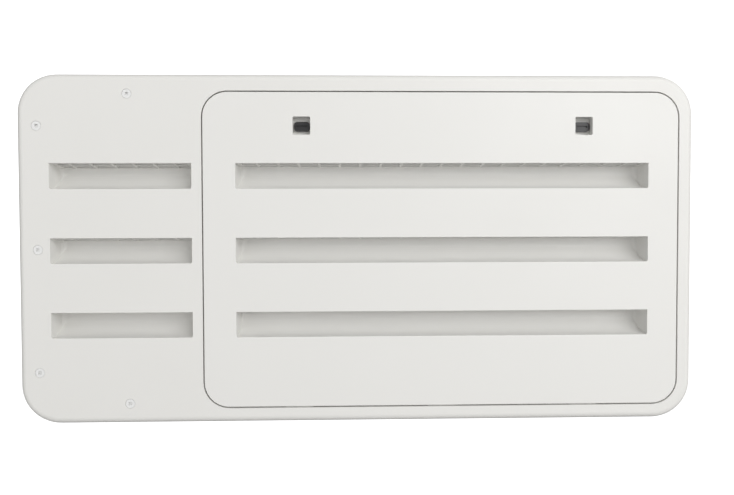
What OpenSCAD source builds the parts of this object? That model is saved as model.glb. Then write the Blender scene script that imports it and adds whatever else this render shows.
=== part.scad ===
// Side vent for a caravan refrigerator: a moulded frame with a fixed louvred
// section and a louvred service door that tilts out on tabs in the sill.
// Millimetres. +X is right and +Z up as seen from outside, +Y goes into the
// wall. The origin is the middle of the plane where the frame meets the wall.

/* [Frame] */
// Overall width of the frame
frame_w = 610; // [580:1:660]
// Overall height of the frame
frame_h = 314; // [306:1:360]
// Radius of the frame's outer corners
frame_corner_r = 35; // [30:1:45]
// Distance from the wall to the front face
rim_depth = 12; // [12:0.5:16]
// Rounding of the rim round the front face
rim_edge_r = 6; // [4:0.5:8]
// Thickness of the frame's face and rim
frame_wall = 3; // [2.5:0.1:3.5]
// Visible border above the door
border_top = 15; // [14:0.5:18]
// Visible border below the door
border_bottom = 13; // [12.5:0.5:18]
// Visible border to the right of the door
border_right = 13; // [12:0.5:18]
// Width of the recess that the door sits in
recess_w = 433.4; // [400:0.2:436]
// Thickness of the wall round the recess
surround_wall = 2.5; // [2:0.1:3]
// Thickness of the ledge that the door closes against
ledge_t = 3; // [2.8:0.1:3.5]
// Radius of the ledge's inner corners
ledge_corner_r = 4; // [2:0.5:8]
// Distance from the outer edge to the collar that enters the wall
collar_inset = 26; // [25:0.5:26.5]
// Reach of the collar behind the wall plane
collar_depth = 20; // [10:1:40]
// Thickness of the collar
collar_wall = 2.5; // [2:0.1:3]
// Spacing of the ribs that tie the rim to the collar
rim_rib_pitch = 62; // [40:1:90]
// Thickness of the stiffening ribs on the hidden sides
rib_t = 2; // [1.5:0.1:3]
// Distance of the rim's ribs short of the wall plane
rib_short = 0.5; // [0.3:0.1:1]
// Depth of the stiffening ribs behind the faces
face_rib_depth = 4.5; // [3:0.5:5]
// Ceiling slots between neighbouring ribs behind the fixed section
fixed_rib_slots = 3; // [2:1:4]
// Ceiling slots between neighbouring ribs behind the door
door_rib_slots = 4; // [2:1:5]

/* [Door] */
// Radius of the door's corners
door_corner_r = 22.5; // [15:0.5:30]
// Gap all round between door and frame
door_gap = 1; // [0.6:0.1:1.5]
// Thickness of the door's face
door_wall = 3; // [2.5:0.1:3.5]
// Thickness of the skirt round the door's edge
skirt_wall = 2.5; // [2:0.1:3]
// Rounding of the door's front edge
door_edge_r = 0.8; // [0.5:0.1:1.5]
// Gap between the closed skirt and the ledge
seat_gap = 0.4; // [0.3:0.1:0.8]
// Number of tabs along the door's lower edge
tab_count = 3; // [2:1:4]
// Distance between neighbouring tabs
tab_pitch = 130; // [80:1:130]
// Width of one tab
tab_w = 25; // [15:1:40]
// Thickness of one tab
tab_t = 2.5; // [2:0.1:2.8]
// Distance of the tabs behind the door's front
tab_front = 3; // [2.5:0.1:3.2]
// Reach of the tabs below the door's edge
tab_drop = 6; // [5:0.1:6]
// Clearance of the tabs in their slots
tab_gap = 0.4; // [0.3:0.05:0.5]

/* [Louvres] */
// Number of louvres, one above the other
louvre_count = 3; // [2:1:3]
// Height of one louvre opening
louvre_h = 22.8; // [20:0.2:26]
// Vertical distance from one louvre to the next
louvre_pitch = 67; // [60:0.5:68]
// Depth of the louvre recesses
louvre_depth = 24; // [20:0.5:28]
// Height over which the back wall sweeps forward to the lower lip
louvre_sweep_h = 15; // [10:0.5:18]
// Wall thickness of the louvre recesses
louvre_wall = 2.5; // [2:0.1:2.6]
// Draft of each end wall over the full depth
louvre_draft = 1.4; // [0.5:0.1:2.5]
// Radius of the opening's two lower corners
louvre_corner_r = 3; // [2:0.5:5]
// Radius between the end walls and the back wall
louvre_inner_r = 5; // [3:0.5:6]
// Rounding of the lower lip
louvre_lip_r = 1; // [0.5:0.1:2]
// Distance from the frame's outer edge to the fixed section's openings
fixed_margin = 28.7; // [28.5:0.1:40]
// Distance from those openings to the door's recess
mullion = 8.9; // [6:0.1:20]
// Fall of their ceiling from front to back
fixed_fall = 3; // [1:0.2:4]
// Distance from the door's edges to the door's openings
door_margin = 28.2; // [25:0.1:60]
// Distance by which the door's openings and latches sit right of its middle
door_shift = 1; // [-1:0.5:1]
// Fall of the door's louvre ceilings from front to back
door_fall = 1.8; // [1:0.2:4]

/* [Ceiling slots] */
// Distance between the ribs that part the slots
slot_pitch = 18.75; // [14:0.25:24]
// Width of those ribs
slot_rib = 2.2; // [1.6:0.1:3]
// Width of the bar between the front and the back row of slots
slot_bar = 2.5; // [2:0.1:4]
// Strip of ceiling left between the face and the front row
slot_front = 0.6; // [0.4:0.1:1.5]
// Strip of ceiling left behind the back row
slot_back = 1.6; // [1:0.1:2.5]

/* [Latches] */
// Distance between the two latches
latch_spacing = 256; // [200:1:270]
// Distance of the latches below the door's top edge
latch_drop = 30.2; // [29.5:0.1:31]
// Width of a latch pocket
pocket_w = 15.8; // [15:0.2:20]
// Height of a latch pocket
pocket_h = 16.4; // [15:0.2:17]
// Depth of a latch pocket
pocket_depth = 10; // [9:0.1:10]
// Radius of the pocket's corners
pocket_corner_r = 1.2; // [0.5:0.1:3]
// Thickness of the pocket's walls
pocket_wall = 2; // [1.5:0.1:2]
// Clearance between the latch pockets and the ledge
ledge_clear = 1.5; // [1:0.1:2]
// Length of the knob's oblong wing
knob_l = 14; // [11:0.2:14.2]
// Width of the wing
knob_w = 8.6; // [7:0.2:10]
// Thickness of the wing
knob_t = 3.4; // [3:0.1:5]
// Radius of the wing's corners
knob_corner_r = 2.8; // [1:0.1:3]
// Clearance between the wing and the pocket's floor
knob_clear = 0.4; // [0.3:0.1:0.8]
// Length of the coin slot in the wing
coin_slot_l = 9.6; // [6:0.2:10]
// Width of the coin slot
coin_slot_w = 1.8; // [1.2:0.1:2.4]
// Depth of the coin slot
coin_slot_d = 1.4; // [0.8:0.1:1.6]
// Diameter of the latch shaft
shaft_d = 6; // [5.6:0.1:7]
// Radial clearance of the shaft in the pocket's floor
shaft_gap = 0.1; // [0.05:0.01:0.2]
// Side of the square end that carries the cam
square_side = 4; // [3.6:0.1:4.2]
// Clearance of the cam round that square
cam_fit = 0.1; // [0.05:0.01:0.2]
// Clearance between the cam and what lies in front of it
cam_gap = 0.3; // [0.3:0.05:0.5]
// Clearance between the turned cam's tip and the collar
cam_tip_gap = 0.5; // [0.4:0.1:1.5]
// Width of the cam
cam_w = 9; // [8:0.2:10]
// Thickness of the cam
cam_t = 2.5; // [2:0.1:3]
// Lead-in along the cam's front edge
cam_lead = 1; // [0.5:0.1:1.5]
// Head diameter of the cam screw
cam_screw_head_d = 6; // [5.8:0.1:7]
// Head height of the cam screw
cam_screw_head_h = 1.8; // [1.2:0.1:2.5]
// Shank diameter of the cam screw
cam_screw_d = 2.4; // [2:0.1:2.6]
// Length of the cam screw under its head
cam_screw_l = 5.5; // [4:0.5:6]

/* [Mounting screws] */
// Head diameter of the countersunk screws
screw_head_d = 8.2; // [7.5:0.1:8.4]
// Diameter of their plain neck, which ends at the wall plane
screw_d = 4.2; // [3.8:0.1:4.4]
// Core diameter of their thread
screw_core_d = 3.2; // [2.8:0.1:3.6]
// Diameter of the point's end
screw_tip_d = 0.7; // [0.4:0.1:1]
// Edge of the head above its cone
screw_edge = 0.4; // [0.3:0.1:0.6]
// Side of the square drive recess
drive_side = 2.8; // [2.4:0.1:3]
// Depth of the drive recess
drive_depth = 1.8; // [1.2:0.1:2]
// Radial clearance round the screws
screw_gap = 0.25; // [0.15:0.05:0.35]
// Depth of a head below its surface
screw_sink = 0.2; // [0.1:0.1:0.3]
// Length of the point
screw_point_l = 5; // [3:0.5:7]
// Length of the screws through the face
face_screw_l = 32; // [25:1:50]
// Length of the screws through the ledge
ledge_screw_l = 25; // [16:1:40]
// Distance from the outer edge to the screws in the face
face_screw_inset = 18; // [17:0.5:18.5]
// Distance from the recess wall to the screws in the ledge
ledge_screw_inset = 5; // [4.8:0.1:5.5]
// Number of screws down the left edge
side_screw_count = 3; // [2:1:3]
// Vertical distance between them
side_screw_pitch = 110.5; // [60:0.5:112]
// Distance of the upper and lower face screws from the left outer edge
end_screw_x = 98; // [70:1:120]
// Number of screws along the top and along the bottom ledge
ledge_screw_count = 3; // [2:1:3]
// Horizontal distance between them
ledge_screw_pitch = 150; // [140:1:160]
// Vertical distance between the two screws in the right ledge
right_screw_pitch = 140; // [80:1:180]
// Diameter of a screw boss behind the face
boss_d = 9.4; // [9.2:0.1:9.6]

/* [Hidden] */
$fn = 64;

// Overlap of joined bodies, and run-out of cuts
join = 0.5;
over = 1;
// Steps in the quarter arcs of a louvre
sweep_steps = 12;
corner_steps = 5;
lip_steps = 4;

// Depths behind the front face
collar_back = rim_depth + collar_depth;
ledge_front = rim_depth - ledge_t;
skirt_back = ledge_front - seat_gap;
rim_rib_back = rim_depth - rib_short;

// The recess and the door in it
recess_h = frame_h - border_top - border_bottom;
recess_r = door_corner_r + door_gap;
door_w = recess_w - 2 * door_gap;
door_h = recess_h - 2 * door_gap;
door_x = frame_w / 2 - border_right - recess_w / 2;
door_z = (border_bottom - border_top) / 2;

// The ledge stops short of the latch pockets
ledge_w = latch_drop + door_gap - pocket_h / 2 - pocket_wall - ledge_clear;

// Outside of the collar
collar_w = frame_w - 2 * collar_inset;
collar_h = frame_h - 2 * collar_inset;
collar_r = frame_corner_r - collar_inset;

// How far back a tab swings as the door tilts about its lower front edge
tab_swing = sqrt(pow(tab_front + tab_t, 2) + pow(tab_drop, 2));

// Louvre openings
louvre_rise = ((louvre_count - 1) * louvre_pitch + louvre_h) / 2;
fixed_left = -frame_w / 2 + fixed_margin;
fixed_right = door_x - recess_w / 2 - mullion;
fixed_louvre_w = fixed_right - fixed_left;
fixed_louvre_x = (fixed_right + fixed_left) / 2;
door_louvre_w = door_w - 2 * door_margin;

// Slots in a louvre's ceiling
slot_start = max(frame_wall, door_wall) + slot_front;
slot_len = (louvre_depth - slot_start - slot_bar - slot_back) / 2;

// Latches, measured from the door's middle
latch_x = [for (s = [-1, 1]) door_shift + s * latch_spacing / 2];
latch_z = door_h / 2 - latch_drop;
pocket_back = pocket_depth + pocket_wall;
knob_front = pocket_depth - knob_clear - knob_t;
knob_back = knob_front + knob_t;
cam_front = max(pocket_back, rim_depth) + cam_gap;
cam_back = cam_front + cam_t;
cam_reach = collar_h / 2 - collar_wall - cam_tip_gap - door_z - latch_z;
square_short = 0.1;
core_gap = 0.05;
core_end_gap = 0.4;

// Mounting screws, measured from the frame's middle
cone_h = (screw_head_d - screw_d) / 2;
side_screw_x = -frame_w / 2 + face_screw_inset;
side_screws = [for (z = spread(side_screw_count, side_screw_pitch)) [side_screw_x, z]];
end_screws = [for (s = [1, -1]) [-frame_w / 2 + end_screw_x, s * (frame_h / 2 - face_screw_inset)]];
ledge_row = spread(ledge_screw_count, ledge_screw_pitch);
ledge_screw_z = recess_h / 2 - ledge_screw_inset;
right_screw_x = door_x + recess_w / 2 - ledge_screw_inset;
top_screws = [for (x = ledge_row) [door_x + x, door_z + ledge_screw_z]];
bottom_screws = [for (x = ledge_row) [door_x + x, door_z - ledge_screw_z]];
right_screws = [for (s = [1, -1]) [right_screw_x, door_z + s * right_screw_pitch / 2]];
face_screws = concat(side_screws, end_screws);
ledge_screws = concat(top_screws, bottom_screws, right_screws);

// Places of equal pitch about a middle
function spread(count, pitch) = [for (i = [0 : count - 1]) (i - (count - 1) / 2) * pitch];
// How many copies of that pitch fit a length
function fitting(length, pitch) = floor(length / pitch) + 1;
// Points of an elliptical arc
function arc(x, y, rx, ry, from, to, steps) =
    [for (i = [0 : steps]) let (a = from + (to - from) * i / steps) [x + rx * cos(a), y + ry * sin(a)]];

// A section drawn as depth and height, drawn out sideways about the middle
module across(length) {
    translate([-length / 2, 0, 0]) rotate([90, 0, 90]) linear_extrude(length) children();
}

// An outline drawn as seen from the front, given depth
module deep(front, back) {
    translate([0, back, 0]) rotate([90, 0, 0]) linear_extrude(back - front) children();
}

// A pin or a bore that runs straight back, straight or tapered
module rod(d, front, back, back_d = undef) {
    translate([0, front, 0]) rotate([-90, 0, 0])
        cylinder(d1 = d, d2 = is_undef(back_d) ? d : back_d, h = back - front);
}

module round_rect(w, h, r) {
    square([w - 2 * r, h], center = true);
    square([w, h - 2 * r], center = true);
    for (x = [-1, 1], y = [-1, 1])
        translate([x * (w / 2 - r), y * (h / 2 - r)]) circle(r = r);
}

// Half section of a block whose front edge is rounded
module edge_section(reach, depth, edge) {
    translate([0, edge]) square([reach, depth - edge]);
    square([reach - edge, depth]);
    translate([reach - edge, edge]) circle(r = edge);
}

// A block with round corners and a rounded front edge, its front at depth 0
module tray(w, h, r, depth, edge) {
    for (x = [-1, 1], z = [-1, 1])
        translate([x * (w / 2 - r), 0, z * (h / 2 - r)])
            rotate([-90, 0, 0]) rotate_extrude() edge_section(r, depth, edge);
    for (side = [0, 180])
        rotate([0, side, 0]) {
            translate([0, 0, -(h / 2 - r)]) linear_extrude(h - 2 * r)
                edge_section(w / 2, depth, edge);
            rotate([0, 90, 0]) translate([0, 0, -(w / 2 - r)]) linear_extrude(w - 2 * r)
                edge_section(h / 2, depth, edge);
        }
}

// Ceiling, back wall and sweep of a louvre, from the top of the back wall to the
// lower lip. The opening's top edge is at height 0. grow gives the wall's outside.
function louvre_section(grow, fall) =
    concat(
        [[louvre_depth + grow, grow - fall]],
        arc(
            louvre_lip_r, louvre_sweep_h - louvre_h,
            louvre_depth + grow - louvre_lip_r, louvre_sweep_h + grow, 0, -90, sweep_steps
        )
    );

// Plan of a louvre, with draft and rounded back corners
function louvre_plan(w, grow) =
    let (
        r = louvre_inner_r + grow,
        half = w / 2 + grow,
        x = half - louvre_draft - r,
        y = louvre_depth + grow - r
    )
    concat(
        [[-half, 0], [-half, -over], [half, -over], [half, 0]],
        arc(x, y, r, r, 0, 90, corner_steps),
        arc(-x, y, r, r, 90, 180, corner_steps)
    );

// Front outline of a louvre, square above and rounded below
function louvre_outline(w, low, r, grow) =
    let (half = w / 2 + grow, x = half - r, z = r - low)
    concat(
        [[half, grow + over], [-half, grow + over]],
        arc(-x, z, r, r, 180, 270, corner_steps),
        arc(x, z, r, r, 270, 360, corner_steps)
    );

// The hollow of a louvre
module louvre_void(w, fall) {
    low = louvre_h + louvre_lip_r;
    lip = arc(louvre_lip_r, -low, louvre_lip_r, louvre_lip_r, 90, 180, lip_steps);
    intersection() {
        across(w + 2 * over)
            polygon(concat([[-over, -low], [-over, 0], [0, 0]], louvre_section(0, fall), lip));
        translate([0, 0, -low - over]) linear_extrude(low + 2 * over)
            polygon(louvre_plan(w, 0));
        deep(-over, louvre_depth + over)
            polygon(louvre_outline(w, low, louvre_corner_r, 0));
    }
}

// The moulded wall round that hollow
module louvre_shell(w, fall) {
    low = louvre_h + louvre_wall;
    intersection() {
        across(w + 2 * louvre_wall + 2 * over)
            polygon(concat([[0, -low], [0, louvre_wall]], louvre_section(louvre_wall, fall)));
        translate([0, 0, -low - over]) linear_extrude(low + louvre_wall + 2 * over)
            polygon(louvre_plan(w, louvre_wall));
        deep(join, louvre_depth + louvre_wall + over)
            polygon(louvre_outline(w, low, louvre_corner_r + louvre_wall, louvre_wall));
    }
}

// Places of the ribs in a louvre's ceiling grid
function grid_ribs(w) = spread(ceil(w / slot_pitch) - 1, slot_pitch);

// The grid in a louvre's ceiling: two rows of slots with ribs between them
module louvre_slots(w, fall) {
    end = w / 2 - louvre_inner_r + slot_rib / 2;
    edges = concat([-end], grid_ribs(w), [end]);
    for (i = [0 : len(edges) - 2], row = [0, 1])
        translate([edges[i] + slot_rib / 2, slot_start + row * (slot_len + slot_bar), -fall - over])
            cube([edges[i + 1] - edges[i] - slot_rib, slot_len, fall + louvre_wall + 2 * over]);
}

module each_louvre(x, z) {
    for (i = [0 : louvre_count - 1])
        translate([x, 0, z + louvre_rise - i * louvre_pitch]) children();
}

// Bore for a countersunk screw whose head lies in a surface at the given depth
module screw_bore(surface) {
    head_front = surface + screw_sink + screw_edge;
    rod(screw_head_d + 2 * screw_gap, surface - over, head_front);
    rod(screw_head_d + 2 * screw_gap, head_front, head_front + cone_h, screw_d + 2 * screw_gap);
    rod(screw_d + 2 * screw_gap, head_front + cone_h - join, rim_depth + over);
}

module at_each(places) {
    for (p = places) translate([p[0], 0, p[1]]) children();
}

// Ribs in the hollow rim, from the rim's wall to the collar
module rim_ribs() {
    start = frame_wall - join;
    reach = collar_inset - frame_wall + 2 * join;
    for (s = [-1, 1]) {
        for (x = spread(fitting(frame_w - 2 * frame_corner_r, rim_rib_pitch), rim_rib_pitch))
            translate([x, 0, s * (frame_h / 2 - frame_wall + join - reach / 2)])
                deep(start, rim_rib_back) square([rib_t, reach], center = true);
        for (z = spread(fitting(frame_h - 2 * frame_corner_r, rim_rib_pitch), rim_rib_pitch))
            translate([s * (frame_w / 2 - frame_wall + join - reach / 2), 0, z])
                deep(start, rim_rib_back) square([reach, rib_t], center = true);
    }
}

// Upright ribs behind a louvred face, in line with ribs of the ceiling grids
module face_ribs(x, w, h, wall, every) {
    places = grid_ribs(w);
    last = len(places) - 1;
    for (i = [floor(last % every / 2) : every : last])
        translate([x + places[i], 0, 0])
            deep(wall - join, wall + face_rib_depth) square([rib_t, h], center = true);
}

module frame_solid() {
    difference() {
        tray(frame_w, frame_h, frame_corner_r, rim_depth, rim_edge_r);
        translate([0, frame_wall, 0])
            tray(
                frame_w - 2 * frame_wall, frame_h - 2 * frame_wall,
                frame_corner_r - frame_wall, rim_depth, max(rim_edge_r - frame_wall, 1)
            );
    }
    // Wall and floor of the recess, before it is hollowed
    translate([door_x, 0, door_z])
        deep(join, rim_depth)
            round_rect(recess_w + 2 * surround_wall, recess_h + 2 * surround_wall, recess_r + surround_wall);
    // Collar that enters the wall
    difference() {
        deep(frame_wall - join, collar_back) round_rect(collar_w, collar_h, collar_r);
        deep(0, collar_back + over)
            round_rect(collar_w - 2 * collar_wall, collar_h - 2 * collar_wall, collar_r - collar_wall);
    }
    rim_ribs();
    face_ribs(fixed_louvre_x, fixed_louvre_w, collar_h - collar_wall, frame_wall, fixed_rib_slots);
    each_louvre(fixed_louvre_x, door_z) louvre_shell(fixed_louvre_w, fixed_fall);
    at_each(face_screws) rod(boss_d, join, rim_depth);
}

module frame() {
    color("whitesmoke") translate([0, -rim_depth, 0])
        difference() {
            frame_solid();
            translate([door_x, 0, door_z]) {
                deep(-over, ledge_front) round_rect(recess_w, recess_h, recess_r);
                deep(0, collar_back + over)
                    round_rect(recess_w - 2 * ledge_w, recess_h - 2 * ledge_w, ledge_corner_r);
            }
            each_louvre(fixed_louvre_x, door_z) {
                louvre_void(fixed_louvre_w, fixed_fall);
                louvre_slots(fixed_louvre_w, fixed_fall);
            }
            at_each(face_screws) screw_bore(0);
            at_each(ledge_screws) screw_bore(ledge_front);
            // Slots in the sill, long enough for the tabs to swing
            for (x = spread(tab_count, tab_pitch))
                translate([door_x + x, 0, door_z - door_h / 2 - tab_drop / 2])
                    deep(tab_front - tab_gap, tab_swing + tab_gap)
                        square([tab_w + 2 * tab_gap, tab_drop + 2 * tab_gap], center = true);
        }
}

module door_solid() {
    difference() {
        tray(door_w, door_h, door_corner_r, skirt_back, door_edge_r);
        translate([0, door_wall, 0])
            tray(
                door_w - 2 * skirt_wall, door_h - 2 * skirt_wall,
                door_corner_r - skirt_wall, skirt_back, door_edge_r
            );
    }
    face_ribs(door_shift, door_louvre_w, door_h - skirt_wall, door_wall, door_rib_slots);
    each_louvre(door_shift, 0) louvre_shell(door_louvre_w, door_fall);
    for (x = latch_x)
        translate([x, 0, latch_z])
            deep(join, pocket_back)
                round_rect(
                    pocket_w + 2 * pocket_wall, pocket_h + 2 * pocket_wall,
                    pocket_corner_r + pocket_wall
                );
    for (x = spread(tab_count, tab_pitch))
        translate([x - tab_w / 2, tab_front, -door_h / 2 - tab_drop])
            cube([tab_w, tab_t, tab_drop + join]);
}

module door() {
    color("white") translate([door_x, -rim_depth, door_z])
        difference() {
            door_solid();
            each_louvre(door_shift, 0) {
                louvre_void(door_louvre_w, door_fall);
                louvre_slots(door_louvre_w, door_fall);
            }
            for (x = latch_x)
                translate([x, 0, latch_z]) {
                    deep(-over, pocket_depth) round_rect(pocket_w, pocket_h, pocket_corner_r);
                    rod(shaft_d + 2 * shaft_gap, pocket_depth - over, pocket_back + over);
                }
        }
}

module at_latch(side) {
    translate([door_x + latch_x[side], -rim_depth, door_z + latch_z]) children();
}

// Knob moulded in one with its shaft and the square end for the cam
module latch_knob(side) {
    color("#181818") at_latch(side)
        difference() {
            union() {
                deep(knob_front, knob_back) round_rect(knob_l, knob_w, knob_corner_r);
                rod(shaft_d, knob_back - join, cam_front);
                deep(cam_front - join, cam_back - square_short) square(square_side, center = true);
            }
            deep(knob_front - over, knob_front + coin_slot_d)
                square([coin_slot_l, coin_slot_w], center = true);
            rod(cam_screw_d + 2 * core_gap, cam_back - cam_screw_l - core_end_gap, cam_back + over);
        }
}

// Cam that turns up behind the ledge
module latch_cam(side) {
    color("#202020") at_latch(side)
        difference() {
            deep(cam_front, cam_back)
                difference() {
                    union() {
                        tip = -cam_reach + cam_w / 2;
                        circle(d = cam_w);
                        translate([tip, -cam_w / 2]) square([-tip, cam_w]);
                        translate([tip, 0]) circle(d = cam_w);
                    }
                    square(square_side + 2 * cam_fit, center = true);
                }
            // Lead-in that draws the door back as the cam turns
            translate([-(cam_reach + shaft_d) / 2, 0, 0]) across(cam_reach)
                polygon([
                    [cam_front - over, cam_w / 2 + over],
                    [cam_front - over, cam_w / 2 - cam_lead - over],
                    [cam_front + cam_lead + over, cam_w / 2 + over]
                ]);
        }
}

module cam_screw(side) {
    color("silver") at_latch(side) {
        rod(cam_screw_head_d, cam_back, cam_back + cam_screw_head_h);
        rod(cam_screw_d, cam_back - cam_screw_l, cam_back + join);
    }
}

// The thread is left plain at its core
module countersunk_screw(length, neck) {
    head_back = screw_edge + cone_h;
    difference() {
        union() {
            rod(screw_head_d, 0, screw_edge);
            rod(screw_head_d, screw_edge, head_back, screw_d);
            rod(screw_d, head_back - join, neck);
            rod(screw_core_d, neck - join, length - screw_point_l);
            rod(screw_core_d, length - screw_point_l, length, screw_tip_d);
        }
        deep(-over, drive_depth) square(drive_side, center = true);
    }
}

module screw_group(places, surface, length) {
    head_front = surface + screw_sink;
    color("gainsboro") translate([0, head_front - rim_depth, 0])
        at_each(places) countersunk_screw(length, rim_depth - head_front);
}

frame();
door();
latch_knob(0);  // latch_knob_left
latch_knob(1);  // latch_knob_right
latch_cam(0);  // latch_cam_left
latch_cam(1);  // latch_cam_right
cam_screw(0);  // cam_screw_left
cam_screw(1);  // cam_screw_right
screw_group(side_screws, 0, face_screw_l);  // mounting_screws_side
screw_group(end_screws, 0, face_screw_l);  // mounting_screws_ends
screw_group(top_screws, ledge_front, ledge_screw_l);  // ledge_screws_top
screw_group(bottom_screws, ledge_front, ledge_screw_l);  // ledge_screws_bottom
screw_group(right_screws, ledge_front, ledge_screw_l);  // ledge_screws_right
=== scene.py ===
import math

import bmesh
import bpy
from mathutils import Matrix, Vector

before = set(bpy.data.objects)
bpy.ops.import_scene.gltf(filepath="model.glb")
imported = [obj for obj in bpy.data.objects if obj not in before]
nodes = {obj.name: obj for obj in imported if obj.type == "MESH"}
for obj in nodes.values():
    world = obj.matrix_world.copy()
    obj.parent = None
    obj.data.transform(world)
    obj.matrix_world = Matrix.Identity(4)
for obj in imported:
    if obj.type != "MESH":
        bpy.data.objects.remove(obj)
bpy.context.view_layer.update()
scene = bpy.context.scene

# Camera: on a tripod 0.63 m in front of the vent, a little left of its middle and
# above it, turned slightly right and tipped down by a degree and a half.
CAMERA_PLACE = (-0.0106, -0.6444, 0.0197)
CAMERA_TURN = (88.32, 0.17, -1.59)
FOCAL_LENGTH = 34.33

camera_data = bpy.data.cameras.new("camera")
camera_data.sensor_width = 36.0
camera_data.lens = FOCAL_LENGTH
camera = bpy.data.objects.new("camera", camera_data)
scene.collection.objects.link(camera)
camera.location = CAMERA_PLACE
camera.rotation_euler = [math.radians(a) for a in CAMERA_TURN]
scene.camera = camera
scene.view_settings.view_transform = "Standard"

# Studio: a white paper sweep, a floor that curves up into a back wall, set well
# away from the vent so that the vent can be seen from behind and from below.
FLOOR_Z = -0.9
FLOOR_NEAR, FLOOR_FAR, FLOOR_HALF = -6.0, 3.2, 7.0
SWEEP_RADIUS, SWEEP_TOP, SWEEP_STEPS = 1.2, 5.0, 16
PAPER_COLOUR = (0.9, 0.9, 0.895, 1)
PAPER_GLOW = 1.0

sweep = bmesh.new()
near = sweep.verts.new((-FLOOR_HALF, FLOOR_NEAR, FLOOR_Z))
far = sweep.verts.new((-FLOOR_HALF, FLOOR_FAR, FLOOR_Z))
edge = sweep.edges.new((near, far))
curve = bmesh.ops.spin(
    sweep, geom=[far], cent=(0, FLOOR_FAR, FLOOR_Z + SWEEP_RADIUS), axis=(1, 0, 0),
    angle=math.pi / 2, steps=SWEEP_STEPS, use_duplicate=False,
)
last = [v for v in curve["geom_last"] if isinstance(v, bmesh.types.BMVert)]
top = bmesh.ops.extrude_vert_indiv(sweep, verts=last)
bmesh.ops.translate(sweep, verts=top["verts"], vec=(0, 0, SWEEP_TOP))
across = bmesh.ops.extrude_edge_only(sweep, edges=sweep.edges[:])
bmesh.ops.translate(
    sweep, verts=[v for v in across["geom"] if isinstance(v, bmesh.types.BMVert)],
    vec=(2 * FLOOR_HALF, 0, 0),
)
bmesh.ops.recalc_face_normals(sweep, faces=sweep.faces[:])
sweep_mesh = bpy.data.meshes.new("paper_sweep")
sweep.to_mesh(sweep_mesh)
sweep.free()
sweep_mesh.shade_smooth()
paper_sweep = bpy.data.objects.new("paper_sweep", sweep_mesh)
scene.collection.objects.link(paper_sweep)

paper = bpy.data.materials.new("white_paper")
paper.use_nodes = True
paper_shader = paper.node_tree.nodes["Principled BSDF"]
paper_shader.inputs["Base Color"].default_value = PAPER_COLOUR
paper_shader.inputs["Roughness"].default_value = 0.9
paper_shader.inputs["Specular IOR Level"].default_value = 0.1
paper_shader.inputs["Emission Color"].default_value = PAPER_COLOUR
paper_shader.inputs["Emission Strength"].default_value = PAPER_GLOW
sweep_mesh.materials.append(paper)
paper_sweep.visible_diffuse = False
paper_sweep.visible_glossy = False

# Light: a wide soft box at the front right, a weaker one at the front left, and
# one low behind, in a pale room that is bright in front and dim behind.
ROOM_FRONT, ROOM_BACK = 0.56, 0.05
LIGHTS = {
    "key_box": ((1.3, -2.0, 0.9), (2.2, 1.8), 42.0, (1.0, 1.0, 1.0)),
    "fill_box": ((-1.6, -2.0, 0.5), (2.0, 1.8), 8.0, (1.0, 1.0, 1.0)),
    "rear_box": ((0.3, 2.4, -0.2), (2.0, 1.2), 4.0, (1.0, 1.0, 1.0)),
}

room = bpy.data.worlds.new("room")
room.use_nodes = True
room_tree = room.node_tree
room_background = room_tree.nodes["Background"]
room_background.inputs["Color"].default_value = (1, 1, 1, 1)
direction = room_tree.nodes.new("ShaderNodeTexCoord")
parts = room_tree.nodes.new("ShaderNodeSeparateXYZ")
fall = room_tree.nodes.new("ShaderNodeMapRange")
fall.inputs["From Min"].default_value = -1.0
fall.inputs["From Max"].default_value = 1.0
fall.inputs["To Min"].default_value = ROOM_FRONT
fall.inputs["To Max"].default_value = ROOM_BACK
fall.interpolation_type = "SMOOTHSTEP"
room_tree.links.new(direction.outputs["Generated"], parts.inputs[0])
room_tree.links.new(parts.outputs["Y"], fall.inputs["Value"])
room_tree.links.new(fall.outputs["Result"], room_background.inputs["Strength"])
scene.world = room
for name, (place, size, power, colour) in LIGHTS.items():
    lamp = bpy.data.lights.new(name, "AREA")
    lamp.shape = "RECTANGLE"
    lamp.size, lamp.size_y = size
    lamp.energy = power
    lamp.color = colour
    box = bpy.data.objects.new(name, lamp)
    scene.collection.objects.link(box)
    box.location = place
    box.rotation_euler = (-Vector(place)).to_track_quat("-Z", "Y").to_euler()

# Frame: one injection moulding of off-white weather-proof plastic. Its mould was
# spark-eroded, which leaves a fine satin grain, and the colour varies very little.
FRAME_COLOUR = (0.79, 0.782, 0.755, 1)
FRAME_SHADE = (0.77, 0.762, 0.732, 1)
GRAIN_SIZE, GRAIN_DEPTH = 0.00045, 0.00002
FLOW_SIZE = 0.09


def node_in(tree, kind, **settings):
    node = tree.nodes.new(kind)
    for key, value in settings.items():
        setattr(node, key, value)
    return node


moulded = bpy.data.node_groups.new("moulded_plastic", "ShaderNodeTree")
moulded.interface.new_socket("Colour", in_out="INPUT", socket_type="NodeSocketColor")
moulded.interface.new_socket("Shade", in_out="INPUT", socket_type="NodeSocketColor")
moulded.interface.new_socket("Grain Size", in_out="INPUT", socket_type="NodeSocketFloat")
moulded.interface.new_socket("Flow Size", in_out="INPUT", socket_type="NodeSocketFloat")
moulded.interface.new_socket("Roughness", in_out="INPUT", socket_type="NodeSocketFloat")
moulded.interface.new_socket("Colour", in_out="OUTPUT", socket_type="NodeSocketColor")
moulded.interface.new_socket("Roughness", in_out="OUTPUT", socket_type="NodeSocketFloat")
moulded.interface.new_socket("Height", in_out="OUTPUT", socket_type="NodeSocketFloat")
given = node_in(moulded, "NodeGroupInput")
made = node_in(moulded, "NodeGroupOutput")
place = node_in(moulded, "ShaderNodeTexCoord")
grain_scale = node_in(moulded, "ShaderNodeMath", operation="DIVIDE")
grain_scale.inputs[0].default_value = 1.0
flow_scale = node_in(moulded, "ShaderNodeMath", operation="DIVIDE")
flow_scale.inputs[0].default_value = 1.0
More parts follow.
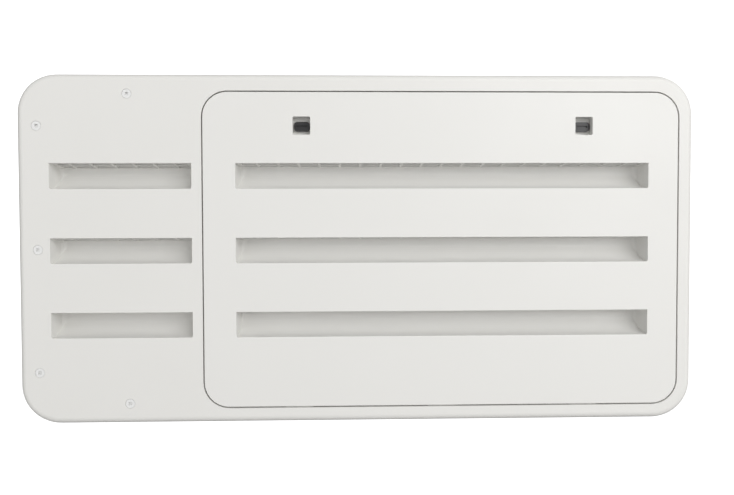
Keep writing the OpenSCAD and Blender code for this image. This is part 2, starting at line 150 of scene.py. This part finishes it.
grain = node_in(moulded, "ShaderNodeTexNoise", noise_dimensions="3D")
grain.inputs["Detail"].default_value = 3.0
grain.inputs["Roughness"].default_value = 0.6
flow = node_in(moulded, "ShaderNodeTexNoise", noise_dimensions="3D")
flow.inputs["Detail"].default_value = 2.0
tint = node_in(moulded, "ShaderNodeMix", data_type="RGBA")
polish = node_in(moulded, "ShaderNodeMapRange")
polish.inputs["From Min"].default_value = 0.3
polish.inputs["From Max"].default_value = 0.7
polish.inputs["To Min"].default_value = -0.04
polish.inputs["To Max"].default_value = 0.04
rough = node_in(moulded, "ShaderNodeMath", operation="ADD")
link = moulded.links.new
link(given.outputs["Grain Size"], grain_scale.inputs[1])
link(given.outputs["Flow Size"], flow_scale.inputs[1])
link(place.outputs["Object"], grain.inputs["Vector"])
link(place.outputs["Object"], flow.inputs["Vector"])
link(grain_scale.outputs[0], grain.inputs["Scale"])
link(flow_scale.outputs[0], flow.inputs["Scale"])
link(flow.outputs["Fac"], tint.inputs["Factor"])
link(given.outputs["Colour"], tint.inputs[6])
link(given.outputs["Shade"], tint.inputs[7])
link(flow.outputs["Fac"], polish.inputs["Value"])
link(given.outputs["Roughness"], rough.inputs[0])
link(polish.outputs["Result"], rough.inputs[1])
link(tint.outputs[2], made.inputs["Colour"])
link(rough.outputs[0], made.inputs["Roughness"])
link(grain.outputs["Fac"], made.inputs["Height"])


def plastic(name, colour, shade, grain_size, grain_depth, roughness, gloss):
    material = bpy.data.materials.new(name)
    material.use_nodes = True
    tree = material.node_tree
    shader = tree.nodes["Principled BSDF"]
    shader.inputs["IOR"].default_value = 1.5
    shader.inputs["Specular IOR Level"].default_value = gloss
    surface = node_in(tree, "ShaderNodeGroup", node_tree=moulded)
    surface.inputs["Colour"].default_value = colour
    surface.inputs["Shade"].default_value = shade
    surface.inputs["Grain Size"].default_value = grain_size
    surface.inputs["Flow Size"].default_value = FLOW_SIZE
    surface.inputs["Roughness"].default_value = roughness
    bump = node_in(tree, "ShaderNodeBump")
    bump.inputs["Strength"].default_value = 0.5
    bump.inputs["Distance"].default_value = grain_depth
    tree.links.new(surface.outputs["Colour"], shader.inputs["Base Color"])
    tree.links.new(surface.outputs["Roughness"], shader.inputs["Roughness"])
    tree.links.new(surface.outputs["Height"], bump.inputs["Height"])
    tree.links.new(bump.outputs["Normal"], shader.inputs["Normal"])
    return material


def finish_node(name, material):
    node = nodes[name]
    node.data.materials.clear()
    node.data.materials.append(material)


finish_node("frame", plastic("frame_plastic", FRAME_COLOUR, FRAME_SHADE, GRAIN_SIZE, GRAIN_DEPTH, 0.42, 0.4))

# Door: a second moulding of the same plastic from another batch, a trace whiter.
# It stands on three tabs in the sill and closes against the ledge of the frame.
DOOR_COLOUR = (0.795, 0.788, 0.762, 1)
DOOR_SHADE = (0.776, 0.768, 0.74, 1)

finish_node("door", plastic("door_plastic", DOOR_COLOUR, DOOR_SHADE, GRAIN_SIZE, GRAIN_DEPTH, 0.42, 0.4))

# Latches: a black nylon knob with a coin slot in each pocket, whose square end
# carries a black nylon cam behind the door.
LATCH_COLOUR = (0.012, 0.012, 0.013, 1)
LATCH_SHADE = (0.02, 0.02, 0.021, 1)

latch_black = plastic("latch_plastic", LATCH_COLOUR, LATCH_SHADE, 0.0003, 0.00001, 0.36, 0.5)
for part in ("latch_knob", "latch_cam"):
    for side in ("left", "right"):
        finish_node(f"{part}_{side}", latch_black)

# Mounting screws: No. 8 countersunk steel screws with a square drive, their heads
# enamelled white to match the frame.
ENAMEL_COLOUR = (0.8, 0.8, 0.79, 1)

enamel = bpy.data.materials.new("painted_screw")
enamel.use_nodes = True
enamel_shader = enamel.node_tree.nodes["Principled BSDF"]
enamel_shader.inputs["Base Color"].default_value = ENAMEL_COLOUR
enamel_shader.inputs["Roughness"].default_value = 0.3
for group in ("mounting_screws_side", "mounting_screws_ends", "ledge_screws_top",
              "ledge_screws_bottom", "ledge_screws_right"):
    finish_node(group, enamel)

# Cam screws: small zinc-plated pan heads that hold the cams on the knobs' ends.
ZINC_COLOUR = (0.62, 0.62, 0.6, 1)

zinc = bpy.data.materials.new("zinc_steel")
zinc.use_nodes = True
zinc_shader = zinc.node_tree.nodes["Principled BSDF"]
zinc_shader.inputs["Base Color"].default_value = ZINC_COLOUR
zinc_shader.inputs["Metallic"].default_value = 1.0
zinc_shader.inputs["Roughness"].default_value = 0.35
for side in ("left", "right"):
    finish_node(f"cam_screw_{side}", zinc)
